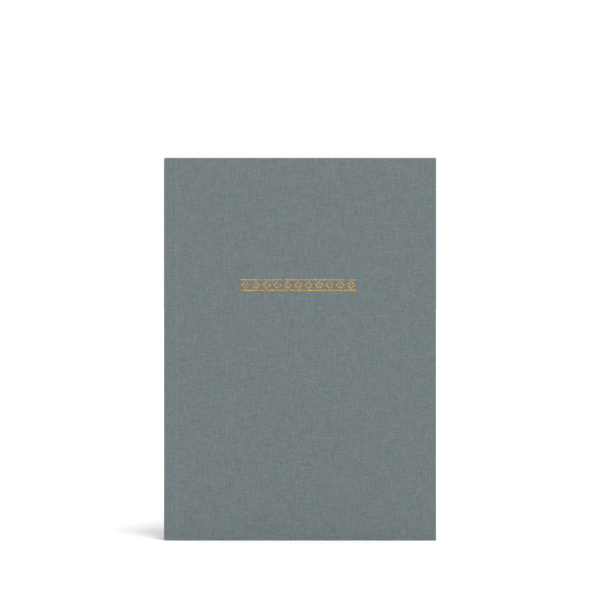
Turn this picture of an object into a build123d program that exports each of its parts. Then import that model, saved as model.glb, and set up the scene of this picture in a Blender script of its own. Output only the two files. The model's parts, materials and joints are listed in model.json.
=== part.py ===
from build123d import *
from math import cos, radians, sin
import os

# An A5 address book in a cloth case binding, standing on its tail with the front cover towards -Y and the spine
# at -X. The origin is under the middle of the book. Sizes are in millimetres and angles in degrees.

# Leaves: each letter of the index has its own leaves, stepped down the fore edge
letters = "abcdefghijklmnopqrstuvwxyz"
leaf_width = 148.0
leaf_height = 210.0
leaf_thickness = 0.125
leaves_per_letter = 3
section_gap = 0.045
tab_depth = 7.0
tab_chamfer = 1.5
flyleaf_thickness = 0.15
flyleaf_gap = 0.05

# Opening: the leaves fan out evenly, and the back edge of the outermost one is bound in this deep
fan_angle = 90.0
bound_margin = 1.4
leaf_clearance = 0.03
fold_clearance = 0.03

# Case: boards stand past the leaves by the square, and the cloth turns in round their edges
square = 2.5
board_thickness = 2.2
cloth_thickness = 0.4
turn_in = 15.0
edge_radius = 0.6
spine_corner_radius = 1.0
pastedown_thickness = 0.15
block_gap = 0.1

# Back of the book, from the leaves outwards, and the joint where a cover folds
mull_thickness = 0.4
mull_flap_width = 25.0
hollow_thickness = 0.5
hollow_wall = 0.12
spine_board_thickness = 1.2
joint_width = 4.0
joint_drop = 0.3
joint_overhang = 2.5
fold_slit = 0.1
fold_rise = 0.05
lining_clearance = 0.2

# Head and tail bands: a bead on a tape
band_bead_radius = 0.8
band_tape_height = 9.0
band_clearance = 0.02

# Thickness of one letter's leaves, and of half the block of leaves
section_thickness = leaves_per_letter * leaf_thickness
section_pitch = section_thickness + section_gap
flyleaf_pitch = flyleaf_thickness + flyleaf_gap
half_count = len(letters) // 2
block_half = half_count * section_pitch + flyleaf_pitch

# Distances from the middle of the book out to each layer of a cover
paste_in = block_half + block_gap
lining_in = paste_in + pastedown_thickness
board_in = lining_in + max(cloth_thickness, mull_thickness)
board_out = board_in + board_thickness
cover_half = board_out + cloth_thickness
turn_in_level = board_in - cloth_thickness
flank_half = cover_half - joint_drop

# Places from the spine to the fore edge, and from tail to head
spine_stack = mull_thickness + hollow_thickness + spine_board_thickness + cloth_thickness
cover_width = spine_stack + leaf_width + square
cover_height = leaf_height + 2 * square
spine_x = -cover_width / 2
fore_edge_x = cover_width / 2
spine_board_x = spine_x + cloth_thickness
spine_inner_x = spine_board_x + spine_board_thickness
mull_x = spine_inner_x + hollow_thickness
block_back_x = mull_x + mull_thickness
leaf_fore_x = block_back_x + leaf_width
tab_x = leaf_fore_x - tab_depth
fold_x = block_back_x
board_x = fold_x + joint_width
flap_x = board_x - joint_overhang
flap_end_x = board_x + mull_flap_width
leaf_head_z = square + leaf_height
tab_pitch = leaf_height / len(letters)
board_width = fore_edge_x - cloth_thickness - board_x
board_height = cover_height - 2 * cloth_thickness
cover_hinge_y = flank_half + fold_rise

# Leaves of one half of the book, counted from the middle outwards. A leaf turns on the fold along its back edge.
# Further from the middle, the folds lie closer to the spine, so that the fanned leaves clear each other.
thicknesses = [section_thickness] * half_count + [flyleaf_thickness]
pitches = [section_pitch] * half_count + [flyleaf_pitch]
leaf_centres = [sum(pitches[:j]) + pitches[j] / 2 for j in range(half_count + 1)]
leaf_angles = [fan_angle * (2 * j + 1) / (2 * half_count + 1) for j in range(half_count + 1)]
setbacks = [0.0]
for j in range(half_count):
    room = (thicknesses[j] + thicknesses[j + 1]) / 2 + leaf_clearance
    spread = leaf_centres[j + 1] - leaf_centres[j]
    turn = radians(leaf_angles[j])
    setbacks.append(setbacks[j] + max(0.0, (room - spread * cos(turn)) / sin(turn)))
fold_places = [block_back_x + bound_margin + setbacks[-1] - setback for setback in setbacks]

corner = (Align.MIN, Align.MIN)
os.makedirs("parts", exist_ok=True)


def keep(piece, name):
    """Labels a finished piece and writes it under its own name."""
    piece.part.label = name
    export_step(piece.part, f"parts/{name}.step")


# Boards: square-cut pulp board, one in each cover
with BuildPart() as front_board:
    with BuildSketch(Plane.XZ.offset(board_in)):
        with Locations((board_x, cloth_thickness)):
            Rectangle(board_width, board_height, align=corner)
    extrude(amount=board_thickness)

with BuildPart() as back_board:
    mirror(front_board.part, about=Plane.XZ)

# Cover cloth: wraps the board, runs on over the joint to the fold, and is open inside the turn-ins
with BuildPart() as front_cloth:
    with BuildSketch(Plane.XZ.offset(turn_in_level)):
        with Locations((board_x - cloth_thickness, 0)):
            Rectangle(board_width + 2 * cloth_thickness, cover_height, align=corner)
    extrude(amount=cover_half - turn_in_level)
    joint_side = front_cloth.faces().sort_by(Axis.X)[0].edges()
    shoulder = joint_side.filter_by(Axis.Z).sort_by(Axis.Y)[0]
    fillet(front_cloth.edges() - joint_side + [shoulder], edge_radius)
    with BuildSketch(Plane.XZ.offset(flank_half - cloth_thickness)):
        with Locations((fold_x + fold_slit / 2, 0)):
            Rectangle(joint_width - fold_slit / 2, cover_height, align=corner)
    extrude(amount=cloth_thickness)
    with BuildSketch(Plane.XZ.offset(turn_in_level)):
        with Locations((board_x - cloth_thickness, 0)):
            Rectangle(cloth_thickness, cover_height, align=corner)
    extrude(amount=flank_half - cloth_thickness - turn_in_level, mode=Mode.SUBTRACT)
    with BuildSketch(Plane.XZ.offset(turn_in_level)):
        with Locations((board_x, turn_in)):
            Rectangle(fore_edge_x - turn_in - board_x, cover_height - 2 * turn_in, align=corner)
    extrude(amount=cloth_thickness, mode=Mode.SUBTRACT)
    add(front_board.part, mode=Mode.SUBTRACT)

with BuildPart() as back_cloth:
    mirror(front_cloth.part, about=Plane.XZ)

# Lining flaps: glued to the boards between the turn-ins, and reaching over the joint
with BuildPart() as front_mull_flap:
    with BuildSketch(Plane.XZ.offset(board_in - mull_thickness)):
        with Locations((flap_x, turn_in)):
            Rectangle(flap_end_x - flap_x, cover_height - 2 * turn_in, align=corner)
    extrude(amount=mull_thickness)

with BuildPart() as back_mull_flap:
    mirror(front_mull_flap.part, about=Plane.XZ)

# Pastedowns: level over the turn-ins and the flap, and pressed down on to the board between them
with BuildPart() as front_pastedown:
    with BuildSketch(Plane.XZ.offset(paste_in)):
        with Locations((flap_x, square)):
            Rectangle(leaf_fore_x - flap_x, leaf_height, align=corner)
    extrude(amount=pastedown_thickness)
    with BuildSketch(Plane.XZ.offset(lining_in)) as pressed:
        with Locations((flap_end_x, turn_in)):
            Rectangle(fore_edge_x - turn_in - flap_end_x, cover_height - 2 * turn_in, align=corner)
    extrude(amount=board_in - lining_in)
    with BuildSketch(Plane.XZ.offset(paste_in)):
        add(pressed.sketch_local)
        offset(amount=-pastedown_thickness, kind=Kind.INTERSECTION, mode=Mode.REPLACE)
    extrude(amount=board_in - paste_in - pastedown_thickness, mode=Mode.SUBTRACT)

with BuildPart() as back_pastedown:
    mirror(front_pastedown.part, about=Plane.XZ)

# Spine of the case: a strip of board in cloth, which turns in at head and tail and ends at the two folds
with BuildPart() as spine_board:
    with BuildSketch(Plane.XY.offset(cloth_thickness)):
        with Locations((spine_board_x, 0)):
            Rectangle(spine_board_thickness, 2 * (flank_half - cloth_thickness), align=(Align.MIN, Align.CENTER))
    extrude(amount=board_height)

with BuildPart() as spine_cloth:
    with BuildSketch(Plane.XY):
        with Locations((spine_x, 0)):
            Rectangle(fold_x - fold_slit / 2 - spine_x, 2 * flank_half, align=(Align.MIN, Align.CENTER))
    extrude(amount=cover_height)
    outer_edges = spine_cloth.faces().sort_by(Axis.X)[0].edges()
    fillet(outer_edges.filter_by(Axis.Y), spine_corner_radius)
    fillet(spine_cloth.faces().sort_by(Axis.X)[0].edges().filter_by(Axis.Z), edge_radius)
    with BuildSketch(Plane.XY):
        with Locations((spine_inner_x + cloth_thickness, 0)):
            Rectangle(joint_width, 2 * (flank_half - cloth_thickness), align=(Align.MIN, Align.CENTER))
    extrude(amount=cover_height, mode=Mode.SUBTRACT)
    with BuildSketch(Plane.XY.offset(turn_in)):
        with Locations((spine_inner_x, 0)):
            Rectangle(cloth_thickness, 2 * (flank_half - cloth_thickness), align=(Align.MIN, Align.CENTER))
    extrude(amount=cover_height - 2 * turn_in, mode=Mode.SUBTRACT)
    add(spine_board.part, mode=Mode.SUBTRACT)

# Hollow: a flat paper tube glued to the spine board and to the lining, between the turn-ins
with BuildPart() as hollow_tube:
    with BuildSketch(Plane.XY.offset(turn_in + lining_clearance)):
        with Locations((spine_inner_x + hollow_thickness / 2, 0)):
            Rectangle(hollow_thickness, 2 * block_half)
            Rectangle(hollow_thickness - 2 * hollow_wall, 2 * (block_half - hollow_wall), mode=Mode.SUBTRACT)
    extrude(amount=cover_height - 2 * (turn_in + lining_clearance))

# Lining on the back of the leaves, between the tapes of the two bands
with BuildPart() as mull:
    with BuildSketch(Plane.XY.offset(square + band_tape_height + lining_clearance)):
        with Locations((mull_x, 0)):
            Rectangle(mull_thickness, 2 * block_half, align=(Align.MIN, Align.CENTER))
    extrude(amount=leaf_height - 2 * (band_tape_height + lining_clearance))

# Bound back: the glued back edges of all the leaves, each as deep as its own fold
with BuildPart() as bound_back:
    with BuildSketch(Plane.XY.offset(square)):
        for thickness, pitch, centre, place in zip(thicknesses, pitches, leaf_centres, fold_places):
            with Locations((block_back_x, -centre), (block_back_x, centre)):
                depth = place - thickness / 2 - fold_clearance - block_back_x
                Rectangle(depth, pitch, align=(Align.MIN, Align.CENTER))
    extrude(amount=leaf_height)

# Bands: a woven bead over the head of the leaves, on a tape that is glued to their back
with BuildPart() as head_band:
    with BuildSketch(Plane.XZ.offset(-block_half)):
        bead_z = leaf_head_z + band_clearance + band_bead_radius
        with Locations((mull_x, leaf_head_z - band_tape_height)):
            Rectangle(mull_thickness, bead_z - leaf_head_z + band_tape_height, align=corner)
        with Locations((mull_x + band_bead_radius, bead_z)):
            Circle(band_bead_radius)
    extrude(amount=2 * block_half)

with BuildPart() as tail_band:
    mirror(head_band.part, about=Plane.XY.offset(cover_height / 2))

# Flyleaves: the free halves of the endpapers
with BuildPart() as front_flyleaf:
    with BuildSketch(Plane.XZ.offset(leaf_centres[-1] - flyleaf_thickness / 2)):
        with Locations((fold_places[-1], square)):
            Rectangle(leaf_fore_x - fold_places[-1], leaf_height, align=corner)
    extrude(amount=flyleaf_thickness)
    with BuildSketch(Plane.XY.offset(square)):
        with Locations((fold_places[-1], -leaf_centres[-1])):
            Circle(flyleaf_thickness / 2)
    extrude(amount=leaf_height)

with BuildPart() as back_flyleaf:
    mirror(front_flyleaf.part, about=Plane.XZ)

keep(front_board, "front_board")
keep(front_cloth, "front_cloth")
keep(front_mull_flap, "front_mull_flap")
keep(front_pastedown, "front_pastedown")
keep(back_board, "back_board")
keep(back_cloth, "back_cloth")
keep(back_mull_flap, "back_mull_flap")
keep(back_pastedown, "back_pastedown")
keep(spine_board, "spine_board")
keep(spine_cloth, "spine_cloth")
keep(hollow_tube, "hollow_tube")
keep(mull, "mull")
keep(bound_back, "bound_back")
keep(head_band, "head_band")
keep(tail_band, "tail_band")
keep(front_flyleaf, "front_flyleaf")
keep(back_flyleaf, "back_flyleaf")

# Index sections: the leaves of one letter. Below its own tab a section is cut back, so that the tabs of the
# letters behind it show in a stair down the fore edge. The last letter keeps its full width.
for number, letter in enumerate(letters):
    outward = half_count - 1 - number if number < half_count else number - half_count
    centre = -leaf_centres[outward] if number < half_count else leaf_centres[outward]
    cut_height = leaf_height - (number + 1) * tab_pitch
    with BuildPart() as section:
        with BuildSketch(Plane.XZ.offset(-centre - section_thickness / 2)) as outline:
            with Locations((fold_places[outward], square)):
                Rectangle(leaf_fore_x - fold_places[outward], leaf_height, align=corner)
            if letter != letters[-1]:
                with Locations((tab_x, square)):
                    Rectangle(tab_depth, cut_height, align=corner, mode=Mode.SUBTRACT)
                tab_corner = outline.vertices().group_by(Axis.X)[-1].sort_by(Axis.Y)[0]
                chamfer(tab_corner, tab_chamfer)
        extrude(amount=section_thickness)
        with BuildSketch(Plane.XY.offset(square)):
            with Locations((fold_places[outward], centre)):
                Circle(section_thickness / 2)
        extrude(amount=leaf_height)
    keep(section, f"index_section_{letter}")
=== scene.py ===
import json
import math

import bmesh
import bpy
from mathutils import Matrix, Vector


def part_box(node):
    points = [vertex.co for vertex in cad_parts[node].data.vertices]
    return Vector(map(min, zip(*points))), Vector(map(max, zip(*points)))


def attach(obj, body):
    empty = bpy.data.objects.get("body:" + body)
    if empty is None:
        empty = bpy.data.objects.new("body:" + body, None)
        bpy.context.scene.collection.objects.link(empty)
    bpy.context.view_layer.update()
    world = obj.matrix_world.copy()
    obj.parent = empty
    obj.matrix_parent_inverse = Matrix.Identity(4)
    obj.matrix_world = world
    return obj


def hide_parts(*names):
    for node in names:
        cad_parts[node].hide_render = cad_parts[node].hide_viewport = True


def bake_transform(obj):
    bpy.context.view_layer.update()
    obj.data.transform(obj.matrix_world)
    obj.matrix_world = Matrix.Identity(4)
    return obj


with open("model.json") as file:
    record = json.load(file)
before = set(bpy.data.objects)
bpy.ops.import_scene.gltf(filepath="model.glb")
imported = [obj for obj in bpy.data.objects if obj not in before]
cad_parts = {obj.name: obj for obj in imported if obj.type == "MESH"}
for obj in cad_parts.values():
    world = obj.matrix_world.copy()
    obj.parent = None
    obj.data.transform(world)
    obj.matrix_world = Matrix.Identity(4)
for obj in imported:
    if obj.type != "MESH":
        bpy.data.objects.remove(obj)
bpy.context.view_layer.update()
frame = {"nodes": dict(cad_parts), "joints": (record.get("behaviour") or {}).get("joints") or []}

# Boards: pressed grey pulp board, one sheet in each cover and a narrow strip in the spine. They are cut
# square, glued into the cloth and hidden by it, so the CAD solids stay and get their colour and fibres.
mm = 0.001
strand_share = 0.4


def plug(tree, socket, value):
    """Links a socket to an input, or sets the input to a plain value."""
    if isinstance(value, bpy.types.NodeSocket):
        tree.links.new(value, socket)
    else:
        socket.default_value = value


def add_node(tree, kind, inputs, **settings):
    """Adds a node with its settings and its inputs, by name or number, and gives its outputs."""
    node = tree.nodes.new(kind)
    for label, value in settings.items():
        setattr(node, label, value)
    for label, value in inputs.items():
        plug(tree, node.inputs[label], value)
    return node.outputs


def calc(tree, operation, *values):
    """One step of arithmetic in a node tree."""
    return add_node(tree, "ShaderNodeMath", dict(enumerate(values)), operation=operation)[0]


def mixed(tree, share, first, second):
    """A colour between two others."""
    return add_node(tree, "ShaderNodeMix", {0: share, 6: first, 7: second}, data_type="RGBA")[2]


def cloudy(tree, place, scale, detail=2.0):
    """Soft noise, from 0 to 1 about a half."""
    inputs = {"Vector": place, "Scale": scale, "Detail": detail}
    return add_node(tree, "ShaderNodeTexNoise", inputs)["Fac"]


def new_group(name, kind, inputs, outputs):
    """An empty node group with its named sockets, and the sockets inside it of what it takes and gives."""
    tree = bpy.data.node_groups.new(name, kind)
    for in_out, sockets in (("INPUT", inputs), ("OUTPUT", outputs)):
        for label, value_kind in sockets.items():
            tree.interface.new_socket(label, in_out=in_out, socket_type=f"NodeSocket{value_kind}")
    return tree, tree.nodes.new("NodeGroupInput").outputs, tree.nodes.new("NodeGroupOutput").inputs


def use_group(tree, group, **values):
    """Places a shader group in a material, with spaces for the underscores in the inputs' names."""
    inputs = {label.replace("_", " "): value for label, value in values.items()}
    return add_node(tree, "ShaderNodeGroup", inputs, node_tree=group)


def new_material(name, roughness):
    """A material with its tree, its shader's inputs and the piece's own places, flat and in space."""
    material = bpy.data.materials.new(name)
    material.use_nodes = True
    tree = material.node_tree
    shader = tree.nodes["Principled BSDF"]
    shader.inputs["Roughness"].default_value = roughness
    places = tree.nodes.new("ShaderNodeTexCoord").outputs
    return material, tree, shader.inputs, places


def raise_surface(tree, shader, height, depth, strength):
    """Bumps a surface by a height from 0 to 1, that deep in metres."""
    inputs = {"Height": height, "Distance": depth, "Strength": strength}
    plug(tree, shader["Normal"], add_node(tree, "ShaderNodeBump", inputs)["Normal"])


def paint(node_names, material):
    """Gives CAD solids a material in place of their plain one."""
    for name in node_names:
        slots = frame["nodes"][name].data.materials
        slots.clear()
        slots.append(material)


fibre, fibre_in, fibre_out = new_group(
    "paper_fibre",
    "ShaderNodeTree",
    inputs={"Place": "Vector", "Fibre length": "Float"},
    outputs={"Mottle": "Float", "Height": "Float"},
)
shrink = {0: fibre_in["Place"], "Scale": calc(fibre, "DIVIDE", 1.0, fibre_in["Fibre length"])}
shrunk = add_node(fibre, "ShaderNodeVectorMath", shrink, operation="SCALE")[0]
cloud = cloudy(fibre, shrunk, scale=0.35, detail=3.0)
strands = cloudy(fibre, shrunk, scale=2.6, detail=4.0)
cloud_part = calc(fibre, "MULTIPLY", cloud, 1 - strand_share)
plug(fibre, fibre_out["Mottle"], calc(fibre, "MULTIPLY_ADD", strands, strand_share, cloud_part))
plug(fibre, fibre_out["Height"], strands)


def fibrous(name, roughness, coordinates, fibre_length, dark, pale, depth, strength):
    """A material of matted fibres between two colours, with their relief."""
    material, tree, shader, places = new_material(name, roughness)
    stock = use_group(tree, fibre, Place=places[coordinates], Fibre_length=fibre_length)
    plug(tree, shader["Base Color"], mixed(tree, stock["Mottle"], dark, pale))
    raise_surface(tree, shader, stock["Height"], depth, strength)
    return material


pulp_board = fibrous(
    "pulp_board",
    roughness=0.9,
    coordinates="Object",
    fibre_length=3 * mm,
    dark=(0.20, 0.19, 0.17, 1),
    pale=(0.40, 0.38, 0.34, 1),
    depth=0.06 * mm,
    strength=0.5,
)
paint(["front_board", "back_board", "spine_board"], pulp_board)

# Leaves: for each letter three leaves of off-white paper, cut in a stair down the fore edge and printed
# with feint rules and the letter on its tab. All are glued along their back edges.
scene = bpy.context.scene
letters = "abcdefghijklmnopqrstuvwxyz"
leaves_per_letter = 3
leaf_gap = 0.012 * mm
tab_depth = 7 * mm
tab_chamfer = 1.5 * mm
bend_length = 16 * mm
bend_steps = 24
back_low, back_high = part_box("bound_back")
back_x = back_low.x
tail_z = back_low.z
head_z = back_high.z
leaf_height = head_z - tail_z
leaf_fore_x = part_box("index_section_z")[1].x
cut_x = leaf_fore_x - tab_depth
tab_pitch = leaf_height / len(letters)
turning_lines = {joint["child"]: Vector(joint["pos_m"]) for joint in frame["joints"]}
sharp_angle = math.radians(32)


def add_object(name, data):
    """Puts a mesh, text, lamp or lens into the scene as an object."""
    holder = bpy.data.objects.new(name, data)
    scene.collection.objects.link(holder)
    return holder


def settle(build, name, *materials):
    """Makes a finished bmesh an object: smooth over its roundings, crisp at its sharp edges."""
    for edge in build.edges:
        if len(edge.link_faces) == 2 and edge.calc_face_angle(math.pi) > sharp_angle:
            edge.smooth = False
    for face in build.faces:
        face.smooth = True
    mesh = bpy.data.meshes.new(name)
    build.to_mesh(mesh)
    build.free()
    for material in materials:
        mesh.materials.append(material)
    return add_object(name, mesh)


def add_leaf(build, front_y, back_y, turning_x, tab_z):
    """Adds one leaf, with columns where it bends, and a tab above tab_z. A leaf with no step has tab_z at
    its tail."""
    bends = [turning_x + bend_length * step / bend_steps for step in range(bend_steps + 1)]
    columns = [back_x, *bends, cut_x]
    rows = [tail_z, tab_z, head_z] if tab_z > tail_z else [tail_z, head_z]
    grid = [[build.verts.new((x, back_y, z)) for z in rows] for x in columns]
    faces = []
    for left, right in zip(grid, grid[1:]):
        for low in range(len(rows) - 1):
            corners = (left[low], right[low], right[low + 1], left[low + 1])
            faces.append(build.faces.new(corners))
    edge = [(leaf_fore_x, rows[-2])]
    if tab_z > tail_z:
        edge = [(leaf_fore_x - tab_chamfer, tab_z), (leaf_fore_x, tab_z + tab_chamfer)]
    edge.append((leaf_fore_x, head_z))
    tab = [build.verts.new((x, back_y, z)) for x, z in edge]
    faces.append(build.faces.new([grid[-1][-2], *tab, grid[-1][-1]]))
    pulled = bmesh.ops.extrude_face_region(build, geom=faces)
    lifted = [part for part in pulled["geom"] if isinstance(part, bmesh.types.BMVert)]
    bmesh.ops.translate(build, verts=lifted, vec=(0, front_y - back_y, 0))


def lay_flat(build):
    """Measures each face of the leaves from their back edge and tail, for what is printed on them."""
    bmesh.ops.recalc_face_normals(build, faces=build.faces)
    sheet = build.loops.layers.uv.new("sheet")
    for face in build.faces:
        for loop in face.loops:
            loop[sheet].uv = (loop.vert.co.x - back_x, loop.vert.co.z - tail_z)


rule_pitch = 7.4 * mm
rule_width = 0.3 * mm
first_rule = 12 * mm
page_margin = 9 * mm
head_margin = 20 * mm
rule_end = cut_x - back_x - 6 * mm
lines_per_entry = 5
feint_share = 0.4
entry_share = 0.85
paper_dark = (0.83, 0.80, 0.73, 1)
paper_pale = (0.92, 0.90, 0.84, 1)
rule_ink = (0.20, 0.25, 0.27, 1)


def between(tree, value, low, high):
    """1 where a value lies between two limits, and 0 elsewhere."""
    above = calc(tree, "GREATER_THAN", value, low)
    return calc(tree, "MULTIPLY", above, calc(tree, "LESS_THAN", value, high))


leaf_paper, tree, shader, places = new_material("leaf_paper", roughness=0.82)
spot = add_node(tree, "ShaderNodeSeparateXYZ", {0: places["UV"]})
rule_number = calc(tree, "DIVIDE", calc(tree, "SUBTRACT", spot["Y"], first_rule), rule_pitch)
nearest = calc(tree, "ROUND", rule_number)
off_rule = calc(tree, "ABSOLUTE", calc(tree, "SUBTRACT", rule_number, nearest))
on_rule = calc(tree, "LESS_THAN", off_rule, rule_width / rule_pitch / 2)
across_page = between(tree, spot["X"], page_margin, rule_end)
down_page = between(tree, spot["Y"], first_rule - rule_width, leaf_height - head_margin)
ruled = calc(tree, "MULTIPLY", on_rule, calc(tree, "MULTIPLY", across_page, down_page))
entry = calc(tree, "LESS_THAN", calc(tree, "FLOORED_MODULO", nearest, lines_per_entry), 0.5)
rule_share = calc(tree, "MULTIPLY_ADD", entry, entry_share - feint_share, feint_share)
ink_share = calc(tree, "MULTIPLY", ruled, rule_share)
stock = use_group(tree, fibre, Place=places["UV"], Fibre_length=1.5 * mm)
paper_colour = mixed(tree, stock["Mottle"], paper_dark, paper_pale)
plug(tree, shader["Base Color"], mixed(tree, ink_share, paper_colour, rule_ink))
raise_surface(tree, shader, stock["Height"], depth=0.02 * mm, strength=0.3)

tab_letter_size = 5.2 * mm
page_letter_size = 9 * mm
page_letter_inset = 11 * mm
ink_thickness = 0.006 * mm
weld_distance = 0.001 * mm
ink_black = (0.05, 0.07, 0.08, 1)
ink_grey = (0.09, 0.12, 0.13, 1)

index_ink, tree, shader, places = new_material("index_ink", roughness=0.6)
blotch = cloudy(tree, places["UV"], scale=900.0)
plug(tree, shader["Base Color"], mixed(tree, blotch, ink_black, ink_grey))


def printed_letter(letter, size, x, y, z):
    """A capital as a thin film of ink that faces the front, centred at a place."""
    text = bpy.data.curves.new("ink", "FONT")
    text.body = letter.upper()
    text.size = size
    text.align_x = "CENTER"
    text.align_y = "CENTER"
    text.resolution_u = 3
    text.extrude = ink_thickness / 2
    holder = add_object("ink", text)
    film = bpy.data.meshes.new_from_object(holder.evaluated_get(bpy.context.evaluated_depsgraph_get()))
    bpy.data.objects.remove(holder)
    film.transform(Matrix.Translation((x, y, z)) @ Matrix.Rotation(math.radians(90), 4, "X"))
    film.uv_layers.remove(film.uv_layers[0])
    ink = bmesh.new()
    ink.from_mesh(film)
    bmesh.ops.remove_doubles(ink, verts=ink.verts, dist=weld_distance)
    bmesh.ops.dissolve_limit(ink, angle_limit=math.radians(1), verts=ink.verts, edges=ink.edges)
    ink.to_mesh(film)
    ink.free()
    return film


for number, letter in enumerate(letters):
    low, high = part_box(f"index_section_{letter}")
    turning_x = turning_lines[f"leaves_{letter}"].x
    leaf_pitch = (high.y - low.y) / leaves_per_letter
    tab_z = tail_z if letter == letters[-1] else head_z - (number + 1) * tab_pitch
    build = bmesh.new()
    for leaf in range(leaves_per_letter):
        front_y = low.y + leaf * leaf_pitch
        add_leaf(build, front_y, front_y + leaf_pitch - leaf_gap, turning_x, tab_z)
    paper_faces = len(build.faces)
    tab_middle = head_z - (number + 0.5) * tab_pitch
    for size, x, z in (
        (tab_letter_size, leaf_fore_x - tab_depth / 2, tab_middle),
        (page_letter_size, cut_x - page_letter_inset, head_z - page_letter_inset),
    ):
        film = printed_letter(letter, size, x, low.y, z)
        build.from_mesh(film)
        bpy.data.meshes.remove(film)
    build.faces.ensure_lookup_table()
    for face in build.faces[paper_faces:]:
        face.material_index = 1
    lay_flat(build)
    leaves = settle(build, f"index_leaves_{letter}", leaf_paper, index_ink)
    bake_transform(leaves)
    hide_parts(f"index_section_{letter}")

# Flyleaves: the free halves of the ivory endpapers, one plain leaf in front of the index and one behind it.
# They are tipped on to the leaves beside them.
sides = {"front": -1, "back": 1}
endpaper = fibrous(
    "endpaper",
    roughness=0.78,
    coordinates="UV",
    fibre_length=2.2 * mm,
    dark=(0.82, 0.785, 0.70, 1),
    pale=(0.885, 0.855, 0.775, 1),
    depth=0.03 * mm,
    strength=0.35,
)
for side in sides:
    low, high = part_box(f"{side}_flyleaf")
    turning_x = turning_lines[f"{side}_fly"].x
    build = bmesh.new()
    add_leaf(build, low.y, high.y, turning_x, tail_z)
    lay_flat(build)
    flyleaf = settle(build, f"{side}_free_endpaper", endpaper)
    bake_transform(flyleaf)
    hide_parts(f"{side}_flyleaf")

# Glued back: a film of flexible glue over the back edges of all the leaves, brushed on in strokes along
# the spine. It lies between leaves and lining, and shows as a dull amber line if the bands are lifted.
glue_depth = 0.25 * mm
glue_stop = 0.4 * mm
glue_strokes = 24
stroke_unevenness = 0.25
stroke_turn = 2.4


def lengths(points):
    """Distances along a closed outline from its first point, ending with its whole length."""
    found = [0.0]
    for here, there in zip(points, [*points[1:], points[0]]):
        found.append(found[-1] + (Vector(there[:2]) - Vector(here[:2])).length)
    return found


def wrap_piece(name, rings, material, across=None, along=None, wear_and_highlight=None):
    """A closed piece through rings of points. Across measures the sheet round a ring, back to where it
    starts, and along measures it from ring to ring. The last argument is how much each point has been
    rubbed, and along the crest beside a joint how much painted highlight it has."""
    across = across or lengths(rings[0])
    along = along or [ring[0].z for ring in rings]
    build = bmesh.new()
    sheet = build.loops.layers.uv.new("sheet")
    rows = [[build.verts.new(point) for point in ring] for ring in rings]
    count = len(rings[0])
    for step, (lower, upper) in enumerate(zip(rows, rows[1:])):
        near, far = along[step], along[step + 1]
        for here in range(count):
            there = (here + 1) % count
            face = build.faces.new((lower[here], lower[there], upper[there], upper[here]))
            left, right = across[here], across[here + 1]
            spots = ((left, near), (right, near), (right, far), (left, far))
            for loop, place in zip(face.loops, spots):
                loop[sheet].uv = place
    for row, level in ((rows[0], along[0]), (rows[-1], along[-1])):
        for loop in build.faces.new(row).loops:
            loop[sheet].uv = (loop.vert.co.x, level + loop.vert.co.y)
    bmesh.ops.recalc_face_normals(build, faces=build.faces)
    piece = settle(build, name, material)
    if wear_and_highlight:
        rub_and_highlight = piece.data.attributes.new("wear_and_highlight", "FLOAT", "POINT")
        rub_and_highlight.data.foreach_set("value", [value for ring in wear_and_highlight for value in ring])
    return piece


def plate_ring(near_x, far_x, low_y, high_y, z):
    """The four corners of a thin upright plate at one height."""
    corners = ((near_x, low_y), (far_x, low_y), (far_x, high_y), (near_x, high_y))
    return [Vector((x, y, z)) for x, y in corners]


back_glue = fibrous(
    "back_glue",
    roughness=0.45,
    coordinates="Object",
    fibre_length=4 * mm,
    dark=(0.50, 0.40, 0.24, 1),
    pale=(0.70, 0.62, 0.44, 1),
    depth=0.05 * mm,
    strength=0.4,
)
glue_rings = []
for level in range(glue_strokes + 1):
    z = tail_z + glue_stop + (leaf_height - 2 * glue_stop) * level / glue_strokes
    depth = glue_depth * (1 - stroke_unevenness + stroke_unevenness * math.sin(stroke_turn * level))
    glue_rings.append(plate_ring(back_x, back_x + depth, back_low.y, back_high.y, z))
glue_film = wrap_piece("glued_back", glue_rings, back_glue)
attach(glue_film, "spine")
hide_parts("bound_back")

# Lining and hollow: starched open-weave cotton over the glued back, and a flat brown paper tube between it
# and the spine board, which lets the spine spring away from the leaves. Both are flat, so the CAD solids
# stay.
sways_per_thread = 0.22
slub_swell = 0.8
thinnest_thread = 0.6
dye_runs_per_slub = 1.4
warp_tint_spread = 5.4
weft_tint_spread = 2.7
gap_slope = 1.25

linen, linen_in, linen_out = new_group(
    "linen_weave",
    "ShaderNodeTree",
    inputs={"Place": "Vector", "Thread pitch": "Float", "Slub length": "Float"},
    outputs=dict.fromkeys(("Tone", "Speck", "Tint", "Height", "Gap"), "Float"),
)
sway_scale = calc(linen, "DIVIDE", sways_per_thread, linen_in["Thread pitch"])
sway_noise = {"Vector": linen_in["Place"], "Scale": sway_scale, "Detail": 1.0}
sway = add_node(linen, "ShaderNodeTexNoise", sway_noise)["Color"]
aside = add_node(linen, "ShaderNodeVectorMath", {0: sway, 1: (0.5, 0.5, 0.5)}, operation="SUBTRACT")[0]
shift = {0: aside, 1: linen_in["Thread pitch"], 2: linen_in["Place"]}
swayed = add_node(linen, "ShaderNodeVectorMath", shift, operation="MULTIPLY_ADD")[0]
spot = add_node(linen, "ShaderNodeSeparateXYZ", {0: swayed})

# Steps from thread to thread through the noise, and shifts for the weft, so that no two threads are alike
slub_step = 7.31
slub_shift = 40
dye_step = 5.17
dye_start = 300
dye_shift = 90
speck_shift = 900


def spot_at(tree, x=0.0, y=0.0):
    """A place from its distances along the first two axes."""
    return add_node(tree, "ShaderNodeCombineXYZ", {"X": x, "Y": y})[0]


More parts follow.
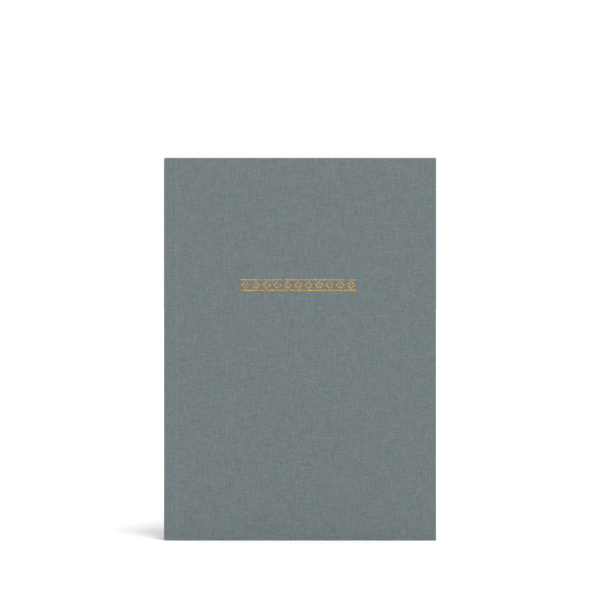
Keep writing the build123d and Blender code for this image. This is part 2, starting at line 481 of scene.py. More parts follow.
def thread_set(run, number_of, phase, tint_spread):
    """One set of parallel threads, with phase 0 for the warp and 1 for the weft: how light each is along
    its run, its tint, the speck of each stretch that shows, and its height."""
    number = calc(linen, "FLOOR", number_of)
    slubs_per_pitch = calc(linen, "DIVIDE", linen_in["Thread pitch"], linen_in["Slub length"])
    slub_thread = calc(linen, "MULTIPLY_ADD", number, slub_step, slub_shift * phase)
    slub_run = calc(linen, "MULTIPLY", run, slubs_per_pitch)
    light = cloudy(linen, spot_at(linen, x=slub_thread, y=slub_run), scale=1.0, detail=1.5)
    off_centre = calc(linen, "MULTIPLY_ADD", calc(linen, "FRACT", number_of), 2.0, -1.0)
    round_top = calc(linen, "SUBTRACT", 1.0, calc(linen, "MULTIPLY", off_centre, off_centre))
    turns = calc(linen, "ADD", run, calc(linen, "ADD", number, phase - 0.5))
    wave = calc(linen, "COSINE", calc(linen, "MULTIPLY", turns, math.pi))
    over = calc(linen, "MULTIPLY_ADD", wave, 0.5, 0.5)
    thick = calc(linen, "MULTIPLY_ADD", light, slub_swell, thinnest_thread)
    height = calc(linen, "MULTIPLY", calc(linen, "MULTIPLY", round_top, over), thick)
    dye_thread = calc(linen, "MULTIPLY_ADD", number, dye_step, dye_start + dye_shift * phase)
    dye_run = calc(linen, "MULTIPLY", run, calc(linen, "MULTIPLY", slubs_per_pitch, dye_runs_per_slub))
    dye_taken = cloudy(linen, spot_at(linen, x=dye_thread, y=dye_run), scale=1.0, detail=2.5)
    tint = calc(linen, "MULTIPLY_ADD", dye_taken, tint_spread, 0.5 - tint_spread / 2)
    speck_thread = calc(linen, "ADD", number, speck_shift * phase)
    stretch = calc(linen, "ROUND", calc(linen, "MULTIPLY", turns, 0.5))
    speck_spot = {"Vector": spot_at(linen, x=speck_thread, y=stretch)}
    speck = add_node(linen, "ShaderNodeTexWhiteNoise", speck_spot, noise_dimensions="2D")["Value"]
    return light, tint, speck, height


columns_of = calc(linen, "DIVIDE", spot["X"], linen_in["Thread pitch"])
rows_of = calc(linen, "DIVIDE", spot["Y"], linen_in["Thread pitch"])
*warp_values, warp_height = thread_set(rows_of, columns_of, phase=0, tint_spread=warp_tint_spread)
*weft_values, weft_height = thread_set(columns_of, rows_of, phase=1, tint_spread=weft_tint_spread)
warp_shows = calc(linen, "GREATER_THAN", warp_height, weft_height)
for label, warp_value, weft_value in zip(("Tone", "Tint", "Speck"), warp_values, weft_values):
    difference = calc(linen, "SUBTRACT", warp_value, weft_value)
    plug(linen, linen_out[label], calc(linen, "MULTIPLY_ADD", warp_shows, difference, weft_value))
top = calc(linen, "MAXIMUM", warp_height, weft_height)
plug(linen, linen_out["Height"], top)
filled = calc(linen, "MINIMUM", calc(linen, "MULTIPLY", top, gap_slope), 1.0)
below = calc(linen, "SUBTRACT", 1.0, filled)
plug(linen, linen_out["Gap"], calc(linen, "MULTIPLY", below, below))

gauze_pitch = 1.1 * mm
gauze_slub = 9 * mm
gauze_shade = (0.36, 0.32, 0.24, 1)
gauze_thread = (0.72, 0.68, 0.58, 1)


def turned_place(tree, place, rotation):
    """A piece's places, turned so that a weave lies flat on it."""
    return add_node(tree, "ShaderNodeMapping", {"Vector": place, "Rotation": rotation})[0]


def gauze_material(name, coordinates, rotation=None):
    """Starched cotton gauze, with its weave on the piece's own places, turned where that is needed."""
    material, tree, shader, places = new_material(name, roughness=0.9)
    place = places[coordinates]
    if rotation:
        place = turned_place(tree, place, rotation)
    gauze = use_group(tree, linen, Place=place, Thread_pitch=gauze_pitch, Slub_length=gauze_slub)
    # Painted shade: the colour darkens towards gauze_shade in the gaps between the threads.
    plug(tree, shader["Base Color"], mixed(tree, gauze["Height"], gauze_shade, gauze_thread))
    raise_surface(tree, shader, gauze["Height"], depth=0.2 * mm, strength=0.7)
    return material


lining_cloth = gauze_material("lining_cloth", "Object", rotation=(math.radians(90), 0, math.radians(90)))
paint(["mull"], lining_cloth)
lining_paper = fibrous(
    "lining_paper",
    roughness=0.75,
    coordinates="Object",
    fibre_length=2.5 * mm,
    dark=(0.30, 0.19, 0.10, 1),
    pale=(0.54, 0.39, 0.24, 1),
    depth=0.03 * mm,
    strength=0.4,
)
paint(["hollow_tube"], lining_paper)

# Head and tail bands: a cord core wound with cotton, ivory and slate by turns, on a woven tape that is
# glued to the back of the leaves. They close the gap between the leaves and the spine.
band_radius = 0.8 * mm
band_windings = 26
stripe_windings = 3
winding_sides = 12
winding_lean = math.radians(7)
thread_sides = 8
tape_thickness = 0.4 * mm
tape_fold = 0.2


def joined(tree, parts):
    """Several pieces of geometry as one."""
    node = tree.nodes.new("GeometryNodeJoinGeometry")
    for part in parts:
        plug(tree, node.inputs[0], part)
    return node.outputs[0]


def moved(tree, piece, translation=(0, 0, 0), rotation=(0, 0, 0)):
    """A piece of geometry, turned and then moved."""
    inputs = {"Geometry": piece, "Translation": translation, "Rotation": rotation}
    return add_node(tree, "GeometryNodeTransform", inputs)[0]


def circle(tree, sides, radius):
    """A round outline with that many sides."""
    inputs = {"Resolution": sides, "Radius": radius}
    return add_node(tree, "GeometryNodeCurvePrimitiveCircle", inputs)["Curve"]


def repeated(tree, piece, count, first, step, rotation=(0, 0, 0)):
    """Copies of a piece in a row, each a step on from the one before."""
    row = add_node(tree, "GeometryNodeMeshLine", {"Count": count, "Start Location": first, "Offset": step})
    copies = {"Points": row["Mesh"], "Instance": piece, "Rotation": rotation}
    return add_node(tree, "GeometryNodeInstanceOnPoints", copies)[0]


def pattern_piece(name, tree, **values):
    """Runs a geometry tree with its inputs set, and keeps the result as a plain mesh."""
    holder = add_object(name, bpy.data.meshes.new(name))
    modifier = holder.modifiers.new("pattern", "NODES")
    modifier.node_group = tree
    for item in tree.interface.items_tree:
        if item.in_out == "INPUT":
            modifier[item.identifier] = values[item.name.lower().replace(" ", "_")]
    mesh = bpy.data.meshes.new_from_object(holder.evaluated_get(bpy.context.evaluated_depsgraph_get()))
    holder.modifiers.remove(modifier)
    holder.data = mesh
    mesh.name = name
    return holder


def wound_cotton(name, dark, pale):
    """Cotton thread, streaked between two colours."""
    material, tree, shader, places = new_material(name, roughness=0.7)
    streaks = cloudy(tree, places["Object"], scale=2600.0)
    plug(tree, shader["Base Color"], mixed(tree, streaks, dark, pale))
    raise_surface(tree, shader, streaks, depth=0.05 * mm, strength=0.5)
    return material


band_weave = wound_cotton("band_weave", dark=(0.62, 0.59, 0.50, 1), pale=(0.82, 0.79, 0.70, 1))
band_slate = wound_cotton("band_slate", dark=(0.13, 0.16, 0.17, 1), pale=(0.22, 0.26, 0.27, 1))

band, band_in, band_out = new_group(
    "wound_band",
    "GeometryNodeTree",
    inputs={
        "Band place": "Vector",
        "Band length": "Float",
        "Band radius": "Float",
        "Windings": "Int",
        "Ivory thread": "Material",
        "Slate thread": "Material",
    },
    outputs={"Pattern": "Geometry"},
)
thread_step = calc(band, "DIVIDE", band_in["Band length"], band_in["Windings"])
thread_radius = calc(band, "MULTIPLY", thread_step, 0.5)
first_winding = calc(band, "MULTIPLY_ADD", band_in["Band length"], -0.5, thread_radius)
core_radius = calc(band, "SUBTRACT", band_in["Band radius"], thread_radius)
outlines = {
    "Curve": circle(band, winding_sides, core_radius),
    "Profile Curve": circle(band, thread_sides, thread_radius),
}
wound = repeated(
    band,
    add_node(band, "GeometryNodeCurveToMesh", outlines)["Mesh"],
    band_in["Windings"],
    first=spot_at(band, y=first_winding),
    step=spot_at(band, y=thread_step),
    rotation=(math.radians(90), 0, winding_lean),
)
order = add_node(band, "GeometryNodeInputIndex", {})[0]
in_stripes = calc(band, "FLOORED_MODULO", order, 2.0 * stripe_windings)
stripe = calc(band, "GREATER_THAN", in_stripes, stripe_windings - 0.5)
marked = add_node(
    band,
    "GeometryNodeStoreNamedAttribute",
    {"Geometry": wound, "Name": "stripe", "Value": stripe},
    data_type="BOOLEAN",
    domain="INSTANCE",
)[0]
cord = {"Vertices": winding_sides, "Radius": core_radius, "Depth": band_in["Band length"]}
core = add_node(band, "GeometryNodeMeshCylinder", cord)["Mesh"]
both = joined(band, [marked, moved(band, core, rotation=(math.radians(90), 0, 0))])
placed = moved(band, both, translation=band_in["Band place"])
real = add_node(band, "GeometryNodeRealizeInstances", {0: placed})[0]
all_ivory = {"Geometry": real, "Material": band_in["Ivory thread"]}
ivory = add_node(band, "GeometryNodeSetMaterial", all_ivory)[0]
striped = add_node(band, "GeometryNodeInputNamedAttribute", {"Name": "stripe"}, data_type="BOOLEAN")[0]
slate_stripes = {"Geometry": ivory, "Selection": striped, "Material": band_in["Slate thread"]}
plug(band, band_out["Pattern"], add_node(band, "GeometryNodeSetMaterial", slate_stripes)[0])

for end in ("head", "tail"):
    low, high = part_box(f"{end}_band")
    bead_z = high.z - band_radius if end == "head" else low.z + band_radius
    tape_z = low.z if end == "head" else high.z
    bead = pattern_piece(
        f"{end}_band_bead",
        band,
        band_place=(high.x - band_radius, 0, bead_z),
        band_length=high.y - low.y,
        band_radius=band_radius,
        windings=band_windings,
        ivory_thread=band_weave,
        slate_thread=band_slate,
    )
    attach(bead, "spine")
    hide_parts(f"{end}_band")
    tape_levels = (tape_z, tape_z + tape_fold * (bead_z - tape_z), bead_z)
    tape_rings = [plate_ring(low.x, low.x + tape_thickness, low.y, high.y, z) for z in tape_levels]
    tape = wrap_piece(f"{end}_band_tape", tape_rings, band_weave)
    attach(tape, "spine")

# Joint linings and pastedowns: the lining's flaps and the glued halves of the endpapers. They come from the
# gutter, line the joint behind the cloth, climb the edge of the board and lie on its inside, over the
# turned-in cloth.
cloth_low, cloth_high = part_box("front_cloth")
board_low, board_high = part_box("front_board")
flap_low, flap_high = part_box("front_mull_flap")
spine_low, spine_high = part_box("spine_cloth")
face_out = -cloth_low.y
turn_in_out = -cloth_high.y
board_face_out = -board_low.y
board_in_out = -board_high.y
cloth_thickness = face_out - board_face_out
flank_out = spine_high.y
joint_out = flank_out - cloth_thickness
fore_x = cloth_high.x
cover_head = cloth_high.z
board_x = board_low.x
spine_x = spine_low.x
turn_in = flap_low.z
pressed_x = fore_x - turn_in
paste_out = -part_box("front_pastedown")[1].y


def round_corners(corners, steps=5):
    """Points along an outline whose corners are (x, out, radius), and how far round its bend each is."""
    points = []
    for number, (x, out, radius) in enumerate(corners):
        corner = Vector((x, out))
        if radius == 0:
            points.append((x, out, 0.0))
            continue
        before = (Vector(corners[number - 1][:2]) - corner).normalized()
        after = (Vector(corners[(number + 1) % len(corners)][:2]) - corner).normalized()
        half = before.angle(after) / 2
        centre = corner + (before + after).normalized() * (radius / math.sin(half))
        first = corner + before * (radius / math.tan(half)) - centre
        last = corner + after * (radius / math.tan(half)) - centre
        sweep = first.angle(last)
        for step in range(steps + 1):
            share = step / steps
            arm = first * math.sin((1 - share) * sweep) + last * math.sin(share * sweep)
            place = centre + arm / math.sin(sweep)
            points.append((place.x, place.y, math.sin(math.pi * share)))
    return points


def left_of(before, after):
    """The direction to the left of the way from one point to another."""
    along = (Vector(after[:2]) - Vector(before[:2])).normalized()
    return Vector((-along.y, along.x))


def sheet_outline(path, thickness):
    """The closed outline of a sheet whose middle follows a path of (x, out) points."""
    left, right = [], []
    for number, here in enumerate(path):
        normal = left_of(path[max(number - 1, 0)], path[min(number + 1, len(path) - 1)]) * thickness / 2
        left.append(Vector(here[:2]) + normal)
        right.append(Vector(here[:2]) - normal)
    return left + right[::-1]


def run(first_x, last_x, out, count):
    """Even points along a level stretch of an outline."""
    return [(first_x + (last_x - first_x) * step / count, out, 0) for step in range(count + 1)]


def soft_step(distance, width):
    """From 0 to 1 over a width about a place."""
    share = min(max(distance / width + 0.5, 0.0), 1.0)
    return share * share * (3 - 2 * share)


lining_flap = gauze_material("lining_flap", "UV")
flap_thickness = 0.32 * mm
flap_root_inset = 0.12 * mm
flap_root_drop = 0.2 * mm
flap_root_radius = 0.45 * mm
flap_climb_radius = 0.3 * mm
flap_top_radius = 0.2 * mm
flap_centre = joint_out - flap_thickness / 2
flap_root_x = back_x - flap_root_inset
flap_bend_x = back_x + 0.4 * mm
bend_end_x = back_x + 1.2 * mm
flap_climb_x = board_x - flap_thickness / 2
flap_level = board_in_out - flap_thickness / 2
flap_path = round_corners(
    [
        (flap_root_x, -flap_high.y - flap_root_drop, 0),
        (flap_root_x, flap_centre, flap_root_radius),
        *run(flap_bend_x, bend_end_x, flap_centre, 8),
        (flap_climb_x, flap_centre, flap_climb_radius),
        (flap_climb_x, flap_level, flap_top_radius),
        (flap_high.x, flap_level, 0),
    ]
)
flap_outline = sheet_outline(flap_path, flap_thickness)

paste_thickness = 0.15 * mm
glue_gap = 0.01 * mm
gutter_inset = 0.25 * mm
gutter_lift = 0.04 * mm
gutter_drop = 0.6 * mm
gutter_radius = 0.3 * mm
gutter_x = turning_lines["front_fly"].x - gutter_inset
gutter_mouth_x = back_x + 0.22 * mm
gutter_foot_x = back_x + 0.12 * mm
paste_bend_x = back_x + 0.45 * mm
paste_joint_radius = 0.25 * mm
paste_top_radius = 0.35 * mm
paste_centre = flap_centre - flap_thickness / 2 - paste_thickness / 2 - glue_gap
paste_climb_x = board_x - flap_thickness - paste_thickness / 2 - glue_gap
paste_level = paste_out + paste_thickness / 2
press_depth = 0.16 * mm
press_width = 2 * mm
press_reach = 1.5 * mm
press_rows = 4
paste_path = round_corners(
    [
        (gutter_x, paste_out - gutter_lift, 0),
        (gutter_mouth_x, paste_out + gutter_drop, gutter_radius),
        (gutter_foot_x, paste_centre, paste_joint_radius),
        *run(paste_bend_x, bend_end_x, paste_centre, 10),
        (paste_climb_x, paste_centre, paste_joint_radius),
        (paste_climb_x, paste_level, paste_top_radius),
        *run(flap_high.x - press_reach, flap_high.x + press_reach, paste_level, 6),
        *run(pressed_x - press_reach, pressed_x + press_reach, paste_level, 6),
        (leaf_fore_x, paste_level, 0),
    ]
)
paste_outline = sheet_outline(paste_path, paste_thickness)
press_levels = [0.0]
for place in (turn_in - tail_z, leaf_height - (turn_in - tail_z)):
    press_levels += [place + press_width * (step / press_rows - 1) for step in range(2 * press_rows + 1)]
press_levels.append(leaf_height)

for side, sign in sides.items():
    flap_levels = (flap_low.z, flap_high.z)
    flap_rings = [[Vector((x, sign * out, z)) for x, out in flap_outline] for z in flap_levels]
    flap = wrap_piece(f"{side}_joint_lining", flap_rings, lining_flap)
    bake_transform(flap)
    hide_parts(f"{side}_mull_flap")
    paste_rings = []
    for level in press_levels:
        z = tail_z + level
        past_tail = soft_step(z - turn_in, press_width)
        short_of_head = soft_step(cover_head - turn_in - z, press_width)
        ring = []
        for x, out in paste_outline:
            past_flap = soft_step(x - flap_high.x, press_width)
            short_of_fore = soft_step(pressed_x - x, press_width)
            pressed = press_depth * min(past_flap, short_of_fore, past_tail, short_of_head)
            ring.append(Vector((x, sign * (out + pressed), z)))
        paste_rings.append(ring)
    pastedown = wrap_piece(f"{side}_glued_endpaper", paste_rings, endpaper, along=press_levels)
    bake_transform(pastedown)
    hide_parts(f"{side}_pastedown")

# Cover cloth: one piece of slate linen, glued over the three boards and turned in round their edges, with a
# shallow groove pressed along each joint. It is rubbed a little paler along its edges.
weave_pitch = 0.45 * mm
slub_length = 7 * mm
speck_share = 0.4
gap_shade_share = 0.65
wear_and_highlight_strength = 0.35
cloth_roughness = 0.92
thread_shine = 0.1
cool_dark = (0.077, 0.119, 0.125, 1)
cool_pale = (0.185, 0.268, 0.281, 1)
warm_dark = (0.112, 0.116, 0.119, 1)
warm_pale = (0.246, 0.254, 0.260, 1)
gap_shade = (0.040, 0.052, 0.055, 1)
worn_and_highlit_cloth = (0.33, 0.37, 0.38, 1)

book_cloth, tree, shader, places = new_material("book_cloth", roughness=0.86)
weave = use_group(tree, linen, Place=places["UV"], Thread_pitch=weave_pitch, Slub_length=slub_length)
specks = calc(tree, "MULTIPLY", calc(tree, "SUBTRACT", weave["Speck"], 0.5), speck_share)
thread_tone = calc(tree, "ADD", weave["Tone"], specks)
cool_thread = mixed(tree, thread_tone, cool_dark, cool_pale)
warm_thread = mixed(tree, thread_tone, warm_dark, warm_pale)
dyed = mixed(tree, weave["Tint"], cool_thread, warm_thread)
# Painted shade: the colour darkens towards gap_shade in the gaps between the threads, where shade falls in
# the weave.
dyed_and_gap_shaded = mixed(tree, calc(tree, "MULTIPLY", weave["Gap"], gap_shade_share), dyed, gap_shade)
# The cloth turns paler by this attribute: wear along its rounded edges and ends, and a painted highlight
# along the crest beside each joint.
wear_and_highlight_mask = add_node(tree, "ShaderNodeAttribute", {}, attribute_name="wear_and_highlight")["Fac"]
patchy = calc(tree, "MULTIPLY", cloudy(tree, places["UV"], scale=700.0), wear_and_highlight_strength)
wear_and_highlight_share = calc(tree, "MULTIPLY", wear_and_highlight_mask, patchy)
plug(tree, shader["Base Color"], mixed(tree, wear_and_highlight_share, dyed_and_gap_shaded, worn_and_highlit_cloth))
roughened = calc(tree, "MULTIPLY_ADD", weave["Height"], -thread_shine, cloth_roughness)
plug(tree, shader["Roughness"], roughened)
shader["Sheen Weight"].default_value = 0.08
raise_surface(tree, shader, weave["Height"], depth=0.12 * mm, strength=0.35)

fold = turning_lines["front_cover"]
fold_reach = 0.7 * mm
fold_rows = 6
crease_depth = 0.1 * mm
shoulder_half = 0.5 * mm
shoulder_foot_x = board_x - cloth_thickness - shoulder_half
shoulder_foot_radius = 0.7 * mm
shoulder_top_x = board_x - cloth_thickness + shoulder_half
shoulder_top_radius = 0.8 * mm
fore_radius = 0.7 * mm
turn_in_radius = 0.65 * mm
crest_x = board_x + 1 * mm
crest_end_x = board_x + 4 * mm
crest_reach = 0.8 * mm
# Painted highlight along the crest beside the joint: how pale it is at its middle.
crest_highlight = 0.4
seam_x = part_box("spine_board")[1].x
inner_edge_x = board_x - 0.25 * mm
recess_edge = 0.05 * mm
end_radius = 0.6 * mm
round_steps = 5
strip_rounding = 0.16 * mm
strip_end_x = board_x + 2 * mm
strip_fade = 3 * mm
inside_joint = joint_out - 0.1 * mm


def inward(outline):
    """For each point of a closed outline, the direction into it."""
    area = sum(a[0] * b[1] - b[0] * a[1] for a, b in zip(outline, [*outline[1:], outline[0]]))
    turn = 1 if area > 0 else -1
    count = len(outline)
    return [left_of(outline[here - 1], outline[(here + 1) % count]) * turn for here in range(count)]


def cloth_levels(radius):
    """Heights of a cover's rings, how far each draws in, its place on the cloth and its rub."""
    found = []
    for step in range(round_steps + 1):
        angle = math.pi / 2 * step / round_steps
        z = radius * (1 - math.cos(angle))
        draw = radius * (1 - math.sin(angle))
        place = radius * (1 + angle - math.pi / 2)
        found.append((z, draw, place, math.sin(math.pi * step / round_steps)))
    recess_tail = (turn_in - recess_edge, turn_in)
    recess_head = (cover_head - turn_in, cover_head - turn_in + recess_edge)
    middle = [(z, 0.0, z, 0.0) for z in (*recess_tail, cover_head / 2, *recess_head)]
    upper = [(cover_head - z, draw, cover_head - place, wear_and_highlight_mask) for z, draw, place, wear_and_highlight_mask in reversed(found)]
    return found + middle + upper


fold_steps = [fold_reach * (step / fold_rows - 1) for step in range(2 * fold_rows + 1)]
crease = []
for reach in fold_steps:
    pressed = crease_depth * (1 - abs(reach) / fold_reach) ** 2
    crease.append((fold.x + reach, flank_out - pressed, 0))
cover_corners = [
    (seam_x, flank_out, 0),
    *crease,
    (shoulder_foot_x, flank_out, shoulder_foot_radius),
    (shoulder_top_x, face_out, shoulder_top_radius),
    *run(crest_x, crest_end_x, face_out, 6),
    (fore_x, face_out, fore_radius),
    (fore_x, turn_in_out, turn_in_radius),
    (pressed_x, turn_in_out, 0),
    (pressed_x - recess_edge, turn_in_out, 0),
    (inner_edge_x, turn_in_out, 0),
    (inner_edge_x, joint_out, 0),
    *[(fold.x - reach, joint_out, 0) for reach in fold_steps],
    (seam_x, joint_out, 0),
]
cover_outline = round_corners(cover_corners)
cover_inward = inward(cover_outline)
cover_lengths = [seam_x + length for length in lengths(cover_outline)]
levels = cloth_levels(end_radius)
for side, sign in sides.items():
    rings, wear_and_highlight = [], []
    for z, draw, _, rub_level in levels:
        ring, rub_and_highlight = [], []
        recessed = turn_in <= z <= cover_head - turn_in
        for (x, out, bent), turn in zip(cover_outline, cover_inward):
            thick = 1.0 if out < inside_joint else soft_step(x - strip_end_x, strip_fade)
            limit = strip_rounding + (end_radius - strip_rounding) * thick
            drawn = draw * limit / end_radius
            if x == seam_x:
                out += math.copysign(drawn, turn.y)
            else:
                x, out = Vector((x, out)) + turn * drawn
            if recessed and x == inner_edge_x:
                x = board_x + recess_edge
            if recessed and out < board_in_out and x < pressed_x - recess_edge / 2:
                out = board_in_out + recess_edge
            ring.append(Vector((x, sign * out, z)))
            # Painted highlight: a paler line on the cover face along the crest beside the joint, drawn into
            # the colour; the other values are wear.
            crest = crest_highlight * (1 - abs(x - crest_x) / crest_reach) if out > board_face_out else 0.0
            rub_and_highlight.append(max(bent if x > shoulder_foot_x else 0.0, crest, rub_level))
        rings.append(ring)
        wear_and_highlight.append(rub_and_highlight)
    cover = wrap_piece(
        f"{side}_cover_cloth",
        rings,
        book_cloth,
        across=[sign * -length for length in cover_lengths],
        along=[level[2] for level in levels],
        wear_and_highlight=wear_and_highlight,
    )
    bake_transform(cover)
    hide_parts(f"{side}_cloth")

spine_crown = 0.06 * mm
crown_steps = 6
spine_corner = 0.75 * mm
spine_end_radius = 1.05 * mm
turned_x = seam_x + cloth_thickness
crown = []
for step in range(1, crown_steps):
    y = flank_out * (1 - 2 * step / crown_steps)
    crown.append((spine_x + spine_crown * (y / flank_out) ** 2, y, 0))
spine_corners = [
    (seam_x, flank_out, 0),
    (spine_x + spine_crown, flank_out, spine_corner),
    *crown,
    (spine_x + spine_crown, -flank_out, spine_corner),
    (seam_x, -flank_out, 0),
    (seam_x, -joint_out, 0),
    (turned_x, recess_edge - joint_out, 0),
    (turned_x, joint_out - recess_edge, 0),
    (seam_x, joint_out, 0),
]
spine_outline = round_corners(spine_corners)
spine_inward = inward(spine_outline)
rings, wear_and_highlight = [], []
levels = cloth_levels(spine_end_radius)
for z, draw, _, rub_level in levels:
    recessed = turn_in <= z <= cover_head - turn_in
    past_arc = max(1 - min(z, cover_head - z) / end_radius, 0)
    strip_draw = strip_rounding * (1 - math.sqrt(1 - past_arc**2))
    ring, rub_and_highlight = [], []
    for (x, y, bent), turn in zip(spine_outline, spine_inward):
        if x == turned_x:
            x = seam_x - recess_edge if recessed else turned_x - draw / 2
        elif x == seam_x:
            y += math.copysign(strip_draw, y) * (1 if abs(y) == joint_out else -1)
        else:
            x = max(x + turn.x * draw, spine_x + draw)
            y += turn.y * draw * end_radius / spine_end_radius
        ring.append(Vector((x, y, z)))
        rub_and_highlight.append(max(bent, rub_level))
    rings.append(ring)
    wear_and_highlight.append(rub_and_highlight)
spine_cover = wrap_piece(
    "spine_cover_cloth",
    rings,
    book_cloth,
    across=[seam_x + length for length in lengths(spine_outline)],
    along=[level[2] for level in levels],
    wear_and_highlight=wear_and_highlight,
)
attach(spine_cover, "spine")
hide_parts("spine_cloth")

# Foil band: a row of lozenges between two rules, stamped in gold foil with a heated brass roll on to the
# front cloth. The foil lies on the tops of the threads and is thin and broken between them.
foil_length = 65 * mm
foil_height = 6.5 * mm
foil_centre_x = -1 * mm
foil_centre_z = 143.5 * mm
foil_line = 0.57 * mm
foil_thickness = 0.03 * mm
foil_lozenges = 11
foil_reach = 0.26
foil_metallic = 0.85
broken_metallic = 0.1
smoothest_foil = 0.25
foil_roughening = 0.3
glint_contrast = 1.7
foil_deep = (0.36, 0.16, 0.005, 1)
foil_bright = (0.74, 0.47, 0.075, 1)
foil_broken = (0.24, 0.22, 0.16, 1)

gold_foil, tree, shader, places = new_material("gold_foil", roughness=0.38)
place = turned_place(tree, places["Object"], rotation=(math.radians(-90), 0, 0))
weave = use_group(tree, linen, Place=place, Thread_pitch=weave_pitch, Slub_length=slub_length)
bare_cloth = calc(tree, "LESS_THAN", weave["Height"], foil_reach)
glint = calc(tree, "MULTIPLY_ADD", weave["Speck"], glint_contrast, 0.5 - glint_contrast / 2)
gold = mixed(tree, glint, foil_deep, foil_bright)
plug(tree, shader["Base Color"], mixed(tree, bare_cloth, gold, foil_broken))
metallic = calc(tree, "MULTIPLY_ADD", bare_cloth, broken_metallic - foil_metallic, foil_metallic)
plug(tree, shader["Metallic"], metallic)
roughened = calc(tree, "MULTIPLY_ADD", weave["Tone"], foil_roughening, smoothest_foil)
plug(tree, shader["Roughness"], roughened)
raise_surface(tree, shader, weave["Height"], depth=0.1 * mm, strength=0.4)

foil, foil_in, foil_out = new_group(
    "foil_band",
    "GeometryNodeTree",
    inputs={
        "Band place": "Vector",
        "Band length": "Float",
        "Band height": "Float",
        "Line width": "Float",
        "Foil thickness": "Float",
        "Lozenges": "Int",
        "Foil": "Material",
    },
    outputs={"Pattern": "Geometry"},
)


def stamped(outlines):
    """A thin closed plate of foil inside its outlines."""
    filled = add_node(foil, "GeometryNodeFillCurve", {"Curve": joined(foil, outlines)})[0]
    lift = {"Mesh": filled, "Offset Scale": foil_in["Foil thickness"], "Individual": False}
    raised = add_node(foil, "GeometryNodeExtrudeMesh", lift)["Mesh"]
    underside = add_node(foil, "GeometryNodeFlipFaces", {0: filled})[0]
    weld = {"Geometry": joined(foil, [raised, underside]), "Distance": 2 * weld_distance}
    return add_node(foil, "GeometryNodeMergeByDistance", weld)[0]


def lozenge(width, height):
    """The outline of a lozenge, that wide and high."""
    half = calc(foil, "MULTIPLY", height, 0.5)
    sizes = {"Width": width, "Bottom Height": half, "Top Height": half}
    return add_node(foil, "GeometryNodeCurvePrimitiveQuadrilateral", sizes, mode="KITE")["Curve"]


# Shares of the lozenges' step, and numbers of line widths
lozenge_share = 0.84
lines_round_lozenge = 3.4
lines_in_ring_width = 2.6
lines_in_ring_height = 2.4
dot_radius_lines = 0.65
dot_sides = 12

line = foil_in["Line width"]
lozenge_step = calc(foil, "DIVIDE", foil_in["Band length"], foil_in["Lozenges"])
lozenge_width = calc(foil, "MULTIPLY", lozenge_step, lozenge_share)
lozenge_height = calc(foil, "MULTIPLY_ADD", line, -lines_round_lozenge, foil_in["Band height"])
hole_width = calc(foil, "MULTIPLY_ADD", line, -lines_in_ring_width, lozenge_width)
hole_height = calc(foil, "MULTIPLY_ADD", line, -lines_in_ring_height, lozenge_height)
half_step = calc(foil, "MULTIPLY", lozenge_step, 0.5)
first_lozenge = calc(foil, "MULTIPLY_ADD", foil_in["Band length"], -0.5, half_step)
ring_stamp = stamped([lozenge(lozenge_width, lozenge_height), lozenge(hole_width, hole_height)])
dot_radius = calc(foil, "MULTIPLY", line, dot_radius_lines)
dot_stamp = stamped([circle(foil, dot_sides, dot_radius)])
row = {"first": spot_at(foil, x=first_lozenge), "step": spot_at(foil, x=lozenge_step)}
stamps = [repeated(foil, stamp, foil_in["Lozenges"], **row) for stamp in (ring_stamp, dot_stamp)]
strip = {"Width": foil_in["Band length"], "Height": line}
rule = add_node(foil, "GeometryNodeCurvePrimitiveQuadrilateral", strip, mode="RECTANGLE")["Curve"]
rule_stamp = stamped([rule])
rules_apart = calc(foil, "SUBTRACT", foil_in["Band height"], line)
for share in (0.5, -0.5):
    rule_spot = spot_at(foil, y=calc(foil, "MULTIPLY", rules_apart, share))
    stamps.append(moved(foil, rule_stamp, translation=rule_spot))
upright = (math.radians(90), 0, 0)
stood = moved(foil, joined(foil, stamps), translation=foil_in["Band place"], rotation=upright)
real = add_node(foil, "GeometryNodeRealizeInstances", {0: stood})[0]
all_gilt = {"Geometry": real, "Material": foil_in["Foil"]}
plug(foil, foil_out["Pattern"], add_node(foil, "GeometryNodeSetMaterial", all_gilt)[0])
foil_band = pattern_piece(
    "foil_band",
    foil,
    band_place=(foil_centre_x, -face_out + foil_thickness / 2, foil_centre_z),
    band_length=foil_length,
    band_height=foil_height,
    line_width=foil_line,
    foil_thickness=foil_thickness,
    lozenges=foil_lozenges,
    foil=gold_foil,
)
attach(foil_band, "front_cover")

# Studio: a wide white table that runs out to the horizon, two soft lamps high in front on the right, and
# an even white room. Seen by the camera, table and room are plain white, and the table keeps the book's
# shadow.
scene.view_settings.view_transform = "Standard"
table_half = 30.0
table_lift = 0.035
table_dark = (0.935, 0.935, 0.935, 1)
table_pale = (0.955, 0.955, 0.955, 1)
room_strength = 0.72
lamps = {
    "side_lamp": {"strength": 0.88, "to_right": 40, "up": 72.5, "spread": 15},
    "front_lamp": {"strength": 0.79, "to_right": 16, "up": 60.5, "spread": 17},
}


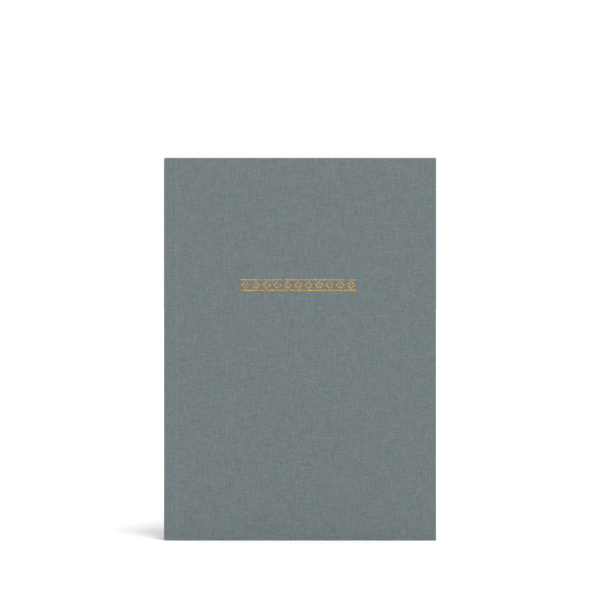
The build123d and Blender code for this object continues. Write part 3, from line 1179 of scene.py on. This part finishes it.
def seen_directly(tree):
    """1 for what the camera sees, also in metal or through glass, and 0 for the light on the book."""
    seen = tree.nodes.new("ShaderNodeLightPath").outputs
    clear = calc(tree, "ADD", seen["Is Glossy Ray"], seen["Is Transmission Ray"])
    return calc(tree, "MINIMUM", calc(tree, "ADD", seen["Is Camera Ray"], clear), 1.0)


build = bmesh.new()
bmesh.ops.create_grid(build, x_segments=1, y_segments=1, size=table_half)
white_table, tree, shader, places = new_material("white_table", roughness=0.95)
shader["Specular IOR Level"].default_value = 0.0
uneven = cloudy(tree, places["Object"], scale=3.0)
plug(tree, shader["Base Color"], mixed(tree, uneven, table_dark, table_pale))
lift_strength = calc(tree, "MULTIPLY", seen_directly(tree), table_lift)
lift = add_node(tree, "ShaderNodeEmission", {"Strength": lift_strength})[0]
lit = tree.nodes["Principled BSDF"].outputs[0]
summed = add_node(tree, "ShaderNodeAddShader", {0: lit, 1: lift})[0]
plug(tree, tree.nodes["Material Output"].inputs["Surface"], summed)
table = settle(build, "table", white_table)

room = bpy.data.worlds.new("room")
scene.world = room
room.use_nodes = True
tree = room.node_tree
strength = calc(tree, "MULTIPLY_ADD", seen_directly(tree), 1.0 - room_strength, room_strength)
tree.nodes["Background"].inputs["Color"].default_value = (1, 1, 1, 1)
plug(tree, tree.nodes["Background"].inputs["Strength"], strength)

for name, settings in lamps.items():
    lamp = bpy.data.lights.new(name, "SUN")
    lamp.energy = settings["strength"]
    lamp.angle = math.radians(settings["spread"])
    holder = add_object(name, lamp)
    holder.rotation_euler = (math.radians(90 - settings["up"]), 0, math.radians(settings["to_right"]))

# Camera: level with the middle of the picture, straight in front of the cover, a little over a metre away.
# The width of the picture at the front cover is the cover's width times 600 pixels over the 272.5 that it
# takes.
camera_distance = 1.2
picture_pixels = 600
cover_pixels = 272.5
base_pixel = 540.65
picture_width = (fore_x - spine_x) * picture_pixels / cover_pixels
camera_height = (base_pixel - picture_pixels / 2) * picture_width / picture_pixels
lens = bpy.data.cameras.new("camera")
lens.sensor_width = 36.0
lens.lens = lens.sensor_width * camera_distance / picture_width
camera = add_object("camera", lens)
camera.location = (0, -face_out - camera_distance, camera_height)
camera.rotation_euler = (math.radians(90), 0, 0)
scene.camera = camera
